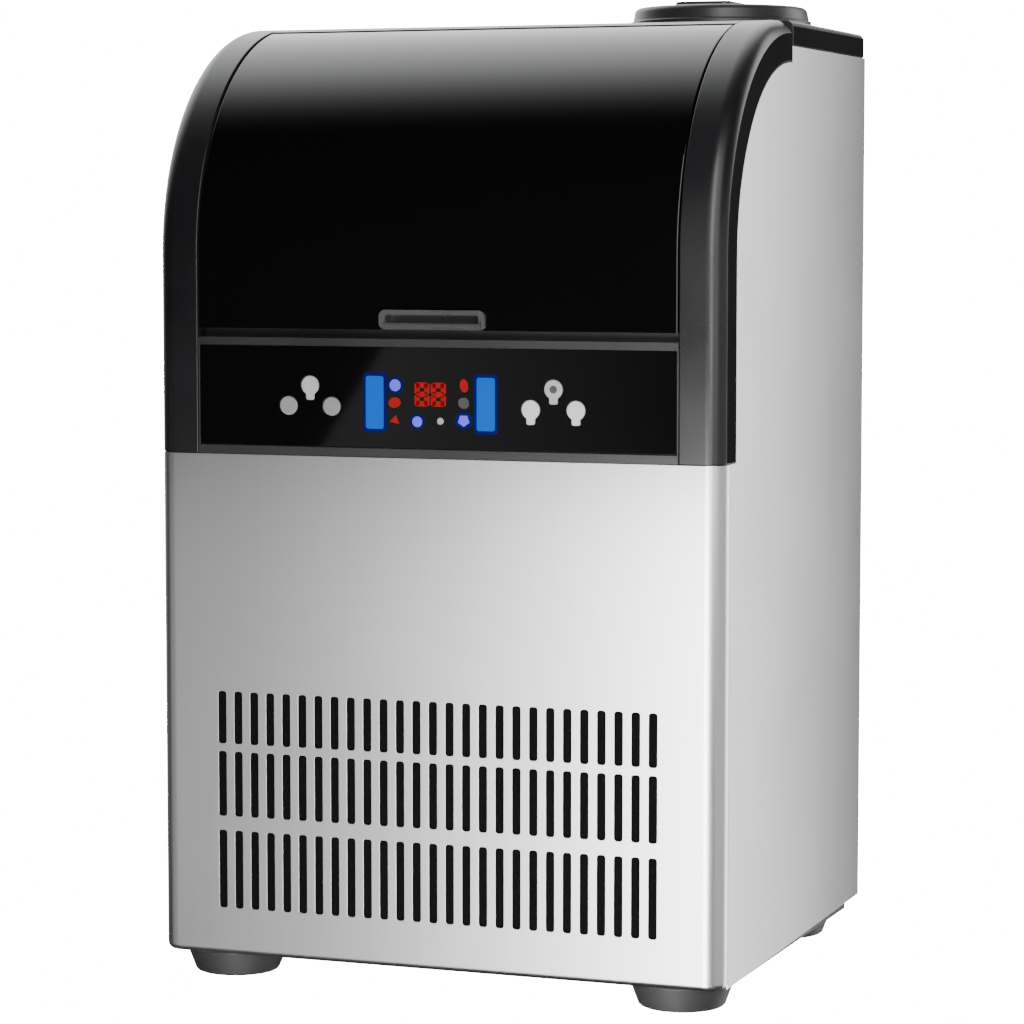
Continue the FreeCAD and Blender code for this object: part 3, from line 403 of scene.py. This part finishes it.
def glowing(name, colour, strength, core=None):
    """Lit display element, brighter in its cells."""
    finish = Finish(name, colour, 0.35)
    dots = finish.grain((1, 1, 1), 700, 1)
    finish.shade(dots, tuple(c * 0.8 for c in colour), colour)
    finish.set(**{"Emission Color": (*(core or colour), 1), "Emission Strength": strength,
                  "Specular IOR Level": 0.1})
    return finish.material


def clear_sheet():
    """Clear moulded curtain with faint flow marks."""
    finish = Finish("clear curtain", (0.85, 0.93, 0.97), 0.12, Transmission_Weight=0.85, IOR=1.45)
    flow = finish.grain((1, 1, 0.2), 60, 2)
    finish.link(finish.spread(flow, 0.08, 0.2), "Roughness")
    finish.bump(flow, 0.08, 0.0004)
    return finish.material


# ---------------------------------------------------------------- materials of this machine
STAINLESS = brushed_steel()
# painted shade: a darker copy of the front's steel for the side sheets
SHADED_SIDE_STEEL = brushed_steel("stainless brushed sides, painted shade", 2, 0.55)
SATIN_BLACK = moulded("satin black trim", (0.006, 0.006, 0.007), 0.3, 1800, 0.08, 0.05)
# painted shade: a matt copy of the trim black with no reflection, put on the sideways faces so they stay
# dark
SHADE_FLANK_BLACK = moulded("matt black flank, painted shade", (0.014, 0.014, 0.015), 0.5, 1800, 0.08, 0.05, 0.0)
LEDGE_BLACK = moulded("grey-black ledge", (0.014, 0.014, 0.015), 0.4)
PULL_BLACK = moulded("pull black", (0.045, 0.045, 0.046), 0.3, 1800, 0.04)
POLISHED = polished_black()
CAP_BLACK = moulded("cap black", (0.03, 0.03, 0.031), 0.34)
RUBBER = moulded("foot rubber", (0.022, 0.022, 0.022), 0.55, 700, 0.25)
KEY_GREY = moulded("key grey", (0.3, 0.3, 0.3), 0.45, 2200, 0.05)
KEY_DIM = moulded("key dark grey", (0.16, 0.16, 0.16), 0.45, 2200, 0.05)
KEY_PALE = moulded("key pale grey", (0.48, 0.48, 0.48), 0.45, 2200, 0.05)
BLUE = glowing("azure light", (0.0, 0.02, 0.1), 0.62, (0.0, 0.17, 1.0))
DEEP_BLUE = glowing("deep blue light", (0.0, 0.0, 0.05), 0.08, (0.0, 0.01, 0.6))
ICON_BLUE = glowing("icon blue light", (0.05, 0.05, 0.4), 0.5, (0.2, 0.2, 1.0))
RED = glowing("red light", (0.15, 0.005, 0.005), 0.28, (0.6, 0.012, 0.012))
DIM = moulded("unlit icon", (0.03, 0.03, 0.03), 0.5)
PALE = moulded("pale icon", (0.3, 0.26, 0.26), 0.5)
LINER_WHITE = moulded("liner white", (0.8, 0.82, 0.84), 0.35, 900, 0.05)
ZINC = metal("galvanised sheet", (0.5, 0.51, 0.52), 0.42, 60)
PLATED = metal("zinc plated steel", (0.6, 0.6, 0.6), 0.28)
TINNED = metal("tinned copper", (0.68, 0.66, 0.63), 0.3)
COPPER = metal("drawn copper", (0.72, 0.36, 0.22), 0.28)
COMPRESSOR_BLACK = moulded("black enamel", (0.012, 0.012, 0.012), 0.3, 200, 0.2)
BLACK_COAT = moulded("black powder coat", (0.02, 0.02, 0.02), 0.5, 1200, 0.3)
NYLON = moulded("dark nylon", (0.07, 0.07, 0.075), 0.5)
GREEN_BOARD = moulded("green circuit board", (0.02, 0.14, 0.05), 0.35)
# painted shade: filter foam behind the front slots, almost pure black so the slots read as shade
SHADE_BLACK_FOAM = foam("filter foam, painted shade black", (0.001, 0.001, 0.001))
FOAM_PALE = foam("insulating foam", (0.55, 0.53, 0.48), 300)
SILICONE = moulded("silicone hose", (0.62, 0.64, 0.66), 0.3)
CLEAR = clear_sheet()


# ---------------------------------------------------------------- cabinet shells
def arch_sweep(piece):
    """Spin the piece's top edges at the height of the arch's axis round the arch."""
    pick(piece, "EDGE", lambda m, e: abs(m.z - ZC) < 1e-5 and abs(edge_way(e).z) < 1e-6)
    bpy.ops.mesh.spin(steps=36, angle=math.pi / 2, center=(0, YC, ZC), axis=(1, 0, 0), dupli=False)
    done(piece)
    return facing_front(clean(piece))


def front_panel():
    """Bent and slotted stainless front."""
    depth = front_hi.y
    tray = block("front_panel_skin", (-XS, YF, ZB), (XS, depth, ZP))
    pick(tray, "FACE", lambda m, f: abs(m.y - depth) < 1e-6 or abs(m.z - ZP) < 1e-6)
    bpy.ops.mesh.delete(type="FACE")
    done(tray)
    pick(tray, "EDGE", lambda m, e: along(edge_way(e), 2) and m.y < YF + 1e-5)
    bpy.ops.mesh.bevel(offset=CORNER_R, segments=12, affect="EDGES")
    done(tray)
    pick(tray, "EDGE", lambda m, e: m.z < ZB + 1e-6 and m.y < depth - 1e-4
         and (m.y < YF + CORNER_R or abs(abs(m.x) - XS) < 1e-5))
    bpy.ops.mesh.bevel(offset=4.5 * MM, segments=5, affect="EDGES")
    done(tray)
    facing_front(clean(tray))
    change(tray, "SOLIDIFY", thickness=1 * MM, offset=-1)
    cutters = []
    for low, high in SLOT_ROWS:
        for column in range(-SLOTS_ASIDE, SLOTS_ASIDE + 1):
            x = column * SLOT_PITCH
            cutter = block("slot", (x - SLOT_WIDE / 2, YF - 4 * MM, ZB + low * MM),
                           (x + SLOT_WIDE / 2, YF + 4 * MM, ZB + high * MM))
            pick(cutter, "EDGE", lambda m, e: along(edge_way(e), 1))
            bpy.ops.mesh.bevel(offset=1.7 * MM, segments=4, affect="EDGES")
            cutters.append(done(cutter))
    tool = join("slot_tool", cutters)
    change(tray, "BOOLEAN", object=tool, operation="DIFFERENCE", solver="EXACT")
    bpy.data.objects.remove(tool, do_unlink=True)
    soften(tray, 0.22 * MM, 2, 50)
    return place(tray, "cabinet", STAINLESS, "stainless", "front_panel")


def shaded_flanks(piece):
    """Painted shade: the faces that look sideways get a matt copy of the black with no reflection, so
    they stay dark.
    """
    piece.data.materials.append(SHADE_FLANK_BLACK)
    for face in piece.data.polygons:
        if abs(face.normal.x) > 0.97:
            face.material_index = 1


def end_cheeks():
    """Moulded trims: front strip, rounded edge, side strip and jamb, swept round the arch."""
    z0 = cheek_lo.z
    right = strip("right_end_cheek_shell", XJ, XS, YF, z0, ZC)
    pick(right, "EDGE", lambda m, e: abs(m.x - XS) < 1e-6 and along(edge_way(e), 2))
    bpy.ops.mesh.extrude_region_move(TRANSFORM_OT_translate={"value": (0, CHEEK_D, 0)})
    done(right)
    pick(right, "EDGE", lambda m, e: abs(m.x - XJ) < 1e-6 and along(edge_way(e), 2))
    bpy.ops.mesh.extrude_region_move(TRANSFORM_OT_translate={"value": (0, CHEEK_D, 0)})
    done(right)
    pick(right, "EDGE", lambda m, e: abs(m.x - XS) < 1e-6 and m.y < YF + 1e-6 and along(edge_way(e), 2))
    bpy.ops.mesh.bevel(offset=CORNER_R, segments=10, affect="EDGES")
    done(right)
    arch_sweep(right)
    change(right, "SOLIDIFY", thickness=WALL, offset=-1)
    soften(right, 0.7 * MM, 3, 50)
    left = mirrored(right, "left_end_cheek_shell")
    smooth(left)
    for piece, node in ((right, "right_end_cheek"), (left, "left_end_cheek")):
        place(piece, "cabinet", SATIN_BLACK, "black_satin", node)
        # the sideways faces get the painted-shade black
        shaded_flanks(piece)


def top_cover():
    """Moulded top behind the arch, from its own shape with rounded edges."""
    piece = refined("top_cover", "top_cover_shell", 0.6 * MM)
    place(piece, "cabinet", SATIN_BLACK, "black_satin", "top_cover")
    # the sideways faces get the painted-shade black
    shaded_flanks(piece)


def cover_lips():
    """Lips inside the cover's sides, which close the joint to the side sheets."""
    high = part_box("right_side_panel")[1]
    for side in (-1, 1):
        near, far = sorted((side * (high.x - 4.6 * MM), side * (high.x - 2.8 * MM)))
        lip = block("cover_lip", (near, YC + 4 * MM, high.z - 5 * MM),
                    (far, high.y - 8 * MM, high.z + 6 * MM))
        soften(lip, 0.4 * MM, 2, 30)
        place(lip, "cabinet", SATIN_BLACK, "black_satin", "top_cover")


def side_panels():
    """Flat side sheets, with the brushing upright, in a darker copy of the front's steel that paints
    shade on them.
    """
    for side in ("left", "right"):
        piece = refined(side + "_side_panel", side + "_side_sheet", 0.25 * MM)
        place(piece, "cabinet", SHADED_SIDE_STEEL, "stainless", side + "_side_panel")


# ---------------------------------------------------------------- lid
def lid_shell():
    """Arched skin with turned-in edges."""
    x = lid_hi.x
    z0 = lid_lo.z
    skin = strip("lid_skin", -x, x, YF + 0.5 * MM, z0, ZC)
    pick(skin, "EDGE", lambda m, e: abs(m.z - z0) < 1e-6)
    bpy.ops.mesh.extrude_region_move(TRANSFORM_OT_translate={"value": (0, 8 * MM, 0)})
    done(skin)
    for side in (-1, 1):
        pick(skin, "EDGE", lambda m, e: abs(m.x - side * x) < 1e-6 and along(edge_way(e), 2))
        bpy.ops.mesh.extrude_region_move(TRANSFORM_OT_translate={"value": (0, 8 * MM, 0)})
        done(skin)
    clean(skin)
    pick(skin, "EDGE", lambda m, e: m.y < YF + 0.6 * MM and abs(abs(m.x) - x) < 1e-5
         and along(edge_way(e), 2))
    bpy.ops.mesh.bevel(offset=1.2 * MM, segments=3, affect="EDGES")
    done(skin)
    arch_sweep(skin)
    wake(skin)
    bpy.ops.object.mode_set(mode="EDIT")
    bpy.ops.mesh.select_all(action="SELECT")
    bpy.ops.mesh.bisect(plane_co=(0, lid_hi.y, 0), plane_no=(0, 1, 0), clear_outer=True)
    done(skin)
    facing_front(clean(skin))
    change(skin, "SOLIDIFY", thickness=2.4 * MM, offset=-1)
    half = PULL_W / 2
    hole = block("pull_hole", (-half + 2.1 * MM, YF - 6 * MM, z0 + 2.6 * MM),
                 (half - 2.1 * MM, YF + 6 * MM, z0 + 10.8 * MM))
    change(skin, "BOOLEAN", object=hole, operation="DIFFERENCE", solver="EXACT")
    bpy.data.objects.remove(hole, do_unlink=True)
    soften(skin, 0.5 * MM, 3, 50)
    return place(skin, "lid", POLISHED, "black_gloss", "lid")


def lid_pull():
    """Pocket and lip of the finger pull."""
    piece = refined("lid_handle", "lid_finger_pull", 0.5 * MM, 3)
    place(piece, "lid", PULL_BLACK, "black_gloss", "lid_handle")


# ---------------------------------------------------------------- control panel
# name, x, height above the lower edge, width, height (millimetres), light, sides, lean in degrees
ICONS = (
    ("drop", -24.4, 361.2, 7.4, 7.4, ICON_BLUE, 24, 0),
    ("flame", -24.8, 350.6, 8.0, 6.4, RED, 16, -12),
    ("arrow", -24.6, 339.8, 8.0, 6.6, RED, 3, 12),
    ("ice", -9.9, 339.2, 6.6, 6.6, ICON_BLUE, 24, 0),
    ("service", 5.2, 339.8, 4.4, 4.4, PALE, 8, 0),
    ("wave", 20.4, 340.4, 8.0, 7.6, ICON_BLUE, 5, 180),
    ("clock", 20.4, 351.0, 7.6, 7.2, DIM, 8, 22),
    ("full", 20.6, 361.6, 5.4, 8.2, RED, 16, -8),
)


def control_panel():
    """Fascia frame and its glossy window."""
    frame_piece = refined("control_fascia", "fascia_frame", 0.4 * MM, 2)
    place(frame_piece, "cabinet", LEDGE_BLACK, "black_satin", "control_fascia")
    glass = refined("display_window", "fascia_window", 0.25 * MM, 2)
    place(glass, "cabinet", POLISHED, "black_gloss", "display_window")


def keys():
    """Key caps in three tones, a dark dot on the one with a ring."""
    tones = {"key_1": KEY_DIM, "key_2": KEY_GREY, "key_3": KEY_DIM,
             "key_4": KEY_PALE, "key_5": KEY_GREY, "key_6": KEY_PALE}
    for name, material in tones.items():
        piece = refined(name, name + "_cap", 0.8 * MM, 3)
        place(piece, name, material, "key_grey", name)
    low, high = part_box("key_5")
    radius = (high.x - low.x) / 2
    dot = disc("key_5_dot", ((low.x + high.x) / 2, low.y, high.z - radius), 2.4 * MM, 0.4 * MM,
               (math.pi / 2, 0, 0), 32)
    soften(dot, 0.06 * MM, 1)
    place(dot, "key_5", DIM, "key_grey")


def lamp(name, x, z, width, height, material, radius=None, sides=None, lean=0.0):
    """Thin lit inlay on the window."""
    y = window_lo.y
    if sides:
        piece = disc(name, (0, 0, 0), 0.5, 1, (math.pi / 2, 0, 0), sides)
        piece.scale = (width, 0.5 * MM, height)
        settle(piece)
        piece.rotation_euler = (0, math.radians(lean), 0)
        piece.location = (x, y - 0.05 * MM, z)
        settle(piece)
    else:
        piece = block(name, (x - width / 2, y - 0.3 * MM, z - height / 2),
                      (x + width / 2, y + 0.2 * MM, z + height / 2))
        pick(piece, "EDGE", lambda m, e: along(edge_way(e), 1))
        bpy.ops.mesh.bevel(offset=radius or min(width, height) * 0.3, segments=4, affect="EDGES")
        done(piece)
    soften(piece, 0.06 * MM, 1, 40)
    return place(piece, "cabinet", material, "display")


def seven_segments(name, x, z, width, height, thick):
    """Lit figure eight made of seven bars."""
    half = height / 2
    bars = []
    for dz in (-half + thick / 2, 0, half - thick / 2):
        bars.append(((x, z + dz), (width - thick * 0.7, thick)))
    for dx in (-width / 2 + thick / 2, width / 2 - thick / 2):
        for dz in (-half / 2, half / 2):
            bars.append(((x + dx, z + dz), (thick, half - thick * 0.35)))
    parts = []
    y = window_lo.y
    for (bx, bz), (w, h) in bars:
        part = block("segment", (bx - w / 2, y - 0.3 * MM, bz - h / 2),
                     (bx + w / 2, y + 0.2 * MM, bz + h / 2))
        pick(part, "EDGE", lambda m, e: along(edge_way(e), 1))
        bpy.ops.mesh.bevel(offset=0.7 * MM, segments=2, affect="EDGES")
        parts.append(done(part))
    place(join(name, parts), "cabinet", RED, "display")


def display():
    """Two level bars, two digits and the small icons round them."""
    centre_z = ZB + BARS_Z
    for side, x in (("left", -37.9 * MM), ("right", 34.7 * MM)):
        lamp("bar_halo_" + side, x, centre_z, 15.6 * MM, 36.5 * MM, DEEP_BLUE, 2.6 * MM)
        bar = lamp("level_bar_" + side, x, centre_z, 11.8 * MM, 32.4 * MM, BLUE, 1.6 * MM)
        raise_piece(bar)
    for digit, x in enumerate((-6.8 * MM, 3.9 * MM)):
        seven_segments("digit_" + str(digit), x, ZB + DIGITS_Z, 9.8 * MM, 14.6 * MM, 3.3 * MM)
    for name, x, z, width, height, material, sides, lean in ICONS:
        if material is ICON_BLUE:
            lamp("halo_" + name, x * MM, ZB + z * MM, width * 1.4 * MM, height * 1.4 * MM, DEEP_BLUE,
                 sides=32)
        piece = lamp("icon_" + name, x * MM, ZB + z * MM, width * MM, height * MM, material,
                     sides=sides, lean=lean)
        raise_piece(piece)


# ---------------------------------------------------------------- cap, feet and rear
# node, piece, body, material, slot, rounding in millimetres
REAR_PIECES = (
    ("rear_panel", "rear_sheet", "cabinet", ZINC, "zinc_sheet", 0.2),
    ("base_pan", "base_tray", "cabinet", BLACK_COAT, "black_paint", 0.4),
    ("water_inlet_valve", "inlet_valve_body", "cabinet", NYLON, "valve_plastic", 0.6),
    ("drain_spout", "drain_spout_body", "cabinet", NYLON, "valve_plastic", 0.4),
    ("drain_cap", "drain_cap_body", "drain_plug", RUBBER, "cap_black", 0.6),
    ("mains_inlet", "mains_inlet_body", "cabinet", NYLON, "valve_plastic", 0.4),
)


def seat_cap():
    """Round cap: base ring, tapered side, crowned top and a grip across it."""
    piece = refined("bottle_seat_cap", "seat_cap_shell", 0.8 * MM, 3)
    place(piece, "seat_cap", CAP_BLACK, "cap_black", "bottle_seat_cap")


def feet():
    """Tapered rubber pads on their studs."""
    for name in sorted(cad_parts):
        if name.startswith("foot_"):
            piece = refined(name, name + "_pad", 1.0 * MM, 3)
            place(piece, name, RUBBER, "foot_rubber", name)


def rear_side():
    """Rear sheet and its fittings, from their own shapes with softened edges."""
    for node, name, body, material, slot, width in REAR_PIECES:
        place(refined(node, name, width * MM), body, material, slot, node)


# ---------------------------------------------------------------- pieces that keep their own shape
CARRIED = {
    "bottle_seat": CAP_BLACK, "lid_liner": LINER_WHITE, "lid_hinge_pins": PLATED, "screws": PLATED,
    "key_board": GREEN_BOARD, "display_module": DIM, "bin_liner": LINER_WHITE,
    "bin_insulation": FOAM_PALE, "bin_front_throat": SATIN_BLACK, "evaporator_plate": TINNED,
    "evaporator_coil": COPPER, "water_distributor": LINER_WHITE, "splash_curtain": CLEAR,
    "water_trough": LINER_WHITE, "ice_chute": LINER_WHITE, "pump_body": NYLON, "pump_motor": NYLON,
    "pump_impeller": LINER_WHITE, "float_switch": LINER_WHITE, "water_float": NYLON,
    # the air filter's near-black foam is painted shade behind the front slots
    "water_hoses": SILICONE, "air_filter": SHADE_BLACK_FOAM, "condenser_fins": BLACK_COAT,
    "condenser_tubes": COPPER, "fan_shroud": BLACK_COAT, "fan_motor": COMPRESSOR_BLACK,
    "fan_blade": NYLON, "compressor": COMPRESSOR_BLACK, "compressor_grommets": RUBBER,
    "compressor_terminal_cover": NYLON, "filter_drier": COPPER, "refrigerant_pipes": COPPER,
    "control_box": NYLON,
}


def dress_nodes():
    """Materials of the nodes whose own shape is kept."""
    for name, material in CARRIED.items():
        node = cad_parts[name]
        for index in range(len(node.material_slots)):
            node.material_slots[index].material = material


# ---------------------------------------------------------------- studio
def hang(card, glow, strength):
    """Light a card and keep it out of the camera's sight."""
    glow.set(**{"Emission Color": (1, 1, 1, 1), "Specular IOR Level": 0.0})
    glow.link(strength, "Emission Strength")
    card.data.materials.append(glow.material)
    card.visible_camera = False


def slanted_card():
    """Weak card in front, whose slanting edge shows in the glossy window."""
    card = strip("slanted_card", -0.592, 0.4, -1.2, 0.155, 0.365)
    pick(card, "EDGE", lambda m, e: m.z > 0.36)
    bpy.ops.transform.translate(value=(0.138, 0, 0))
    done(card)
    glow = Finish("slanted card light", (0, 0, 0), 1.0)
    across = glow.add("SeparateXYZ", {0: glow.where}).outputs[0]
    fade = glow.add("MapRange", {"Value": across, "From Min": -0.45, "From Max": -0.15,
                                 "To Min": 0.46, "To Max": 0.05}).outputs[0]
    hang(card, glow, fade)


def graded_card(name, wide, y, tall, base, peak, at, fold, stop):
    """Card that brightens to the right: base plus a share that grows e-fold over each fold metres."""
    card = strip(name, wide[0], wide[1], y, tall[0], tall[1])
    glow = Finish(name + " light", (0, 0, 0), 1.0)
    across = glow.add("SeparateXYZ", {0: glow.where}).outputs[0]
    held = glow.add("Math", {0: across, 1: stop}, operation="MINIMUM").outputs[0]
    scaled = glow.add("Math", {0: held, 1: 1 / fold, 2: -at / fold}, operation="MULTIPLY_ADD").outputs[0]
    grown = glow.add("Math", {0: scaled}, operation="EXPONENT").outputs[0]
    total = glow.add("Math", {0: grown, 1: peak, 2: base}, operation="MULTIPLY_ADD").outputs[0]
    hang(card, glow, total)


def soft_light(name, place_at, aim, width, height, power):
    """Rectangular soft light aimed at a point."""
    data = bpy.data.lights.new(name, "AREA")
    data.shape = "RECTANGLE"
    data.size = width
    data.size_y = height
    data.energy = power
    light = bpy.data.objects.new(name, data)
    light.location = place_at
    light.visible_camera = False
    light.rotation_euler = (Vector(aim) - Vector(place_at)).to_track_quat("-Z", "Y").to_euler()
    bpy.context.scene.collection.objects.link(light)


def studio_air():
    """Pale backdrop; the air itself glows from above and behind, and is dark in front."""
    world = bpy.data.worlds.new("studio air")
    world.use_nodes = True
    nodes = world.node_tree.nodes
    links = world.node_tree.links
    background = nodes["Background"]
    way = nodes.new("ShaderNodeTexCoord").outputs["Generated"]
    facing = nodes.new("ShaderNodeVectorMath")
    facing.operation = "DOT_PRODUCT"
    facing.inputs[1].default_value = AIR_FROM
    links.new(way, facing.inputs[0])
    fade = nodes.new("ShaderNodeMapRange")
    fade.interpolation_type = "SMOOTHSTEP"
    for key, value in (("From Min", 0.34), ("From Max", 1.0)):
        fade.inputs[key].default_value = value
    links.new(facing.outputs["Value"], fade.inputs["Value"])
    curve = nodes.new("ShaderNodeMath")
    curve.operation = "POWER"
    curve.inputs[1].default_value = AIR_FALL
    links.new(fade.outputs[0], curve.inputs[0])
    level = nodes.new("ShaderNodeMath")
    level.operation = "MULTIPLY_ADD"
    level.inputs[1].default_value = AIR_BRIGHT
    level.inputs[2].default_value = AIR_DARK
    links.new(curve.outputs[0], level.inputs[0])
    seen = nodes.new("ShaderNodeLightPath").outputs["Is Camera Ray"]
    choose = nodes.new("ShaderNodeMix")
    links.new(seen, choose.inputs[0])
    links.new(level.outputs[0], choose.inputs[2])
    choose.inputs[3].default_value = AIR_SEEN
    links.new(choose.outputs[0], background.inputs["Strength"])
    background.inputs["Color"].default_value = (0.98, 0.99, 1.0, 1)
    bpy.context.scene.world = world


def studio():
    """White surroundings, graded cards and soft lights."""
    studio_air()
    slanted_card()
    graded_card("front_card", (-1.6, 0.26), -0.7, (-0.45, 0.287), 0.33, 5.8, -0.013, 0.086, 0.09)
    graded_card("side_card", (0.21, 0.9), 0.4, (-0.4, 0.95), 0.04, 1.35, 0.347, 0.03, 0.378)
    soft_light("trim_card", (0.02, -1.21, 0.62), (0.02, 0, 0.62), 0.34, 0.75, 1.0)
    soft_light("trim_edge", (0.55, -1.2, 0.9), (0.4, 0, 0.75), 0.36, 1.5, 14)
    soft_light("trim_side", (1.0, -0.95, 0.85), (0.2, -0.1, 0.5), 0.5, 1.4, 6)
    soft_light("corner_fill", (1.15, -0.25, 0.2), (0.2, -0.1, 0.3), 1.2, 1.0, 2.8)


def camera():
    """Long lens, to the right of the front and a little above."""
    camera_data = bpy.data.cameras.new("camera")
    eye = bpy.data.objects.new("camera", camera_data)
    bpy.context.scene.collection.objects.link(eye)
    camera_data.sensor_width = 36
    camera_data.lens = CAMERA_LENS
    camera_data.clip_end = 50
    eye.location = CAMERA_AT
    turn = math.radians(90 - CAMERA_DOWN)
    eye.rotation_euler = (turn, 0, math.radians(CAMERA_SIDE))
    bpy.context.scene.camera = eye


# ---------------------------------------------------------------- build
dress_nodes()
studio()
camera()
front_panel()
end_cheeks()
top_cover()
cover_lips()
side_panels()
lid_shell()
lid_pull()
control_panel()
keys()
display()
seat_cap()
feet()
rear_side()
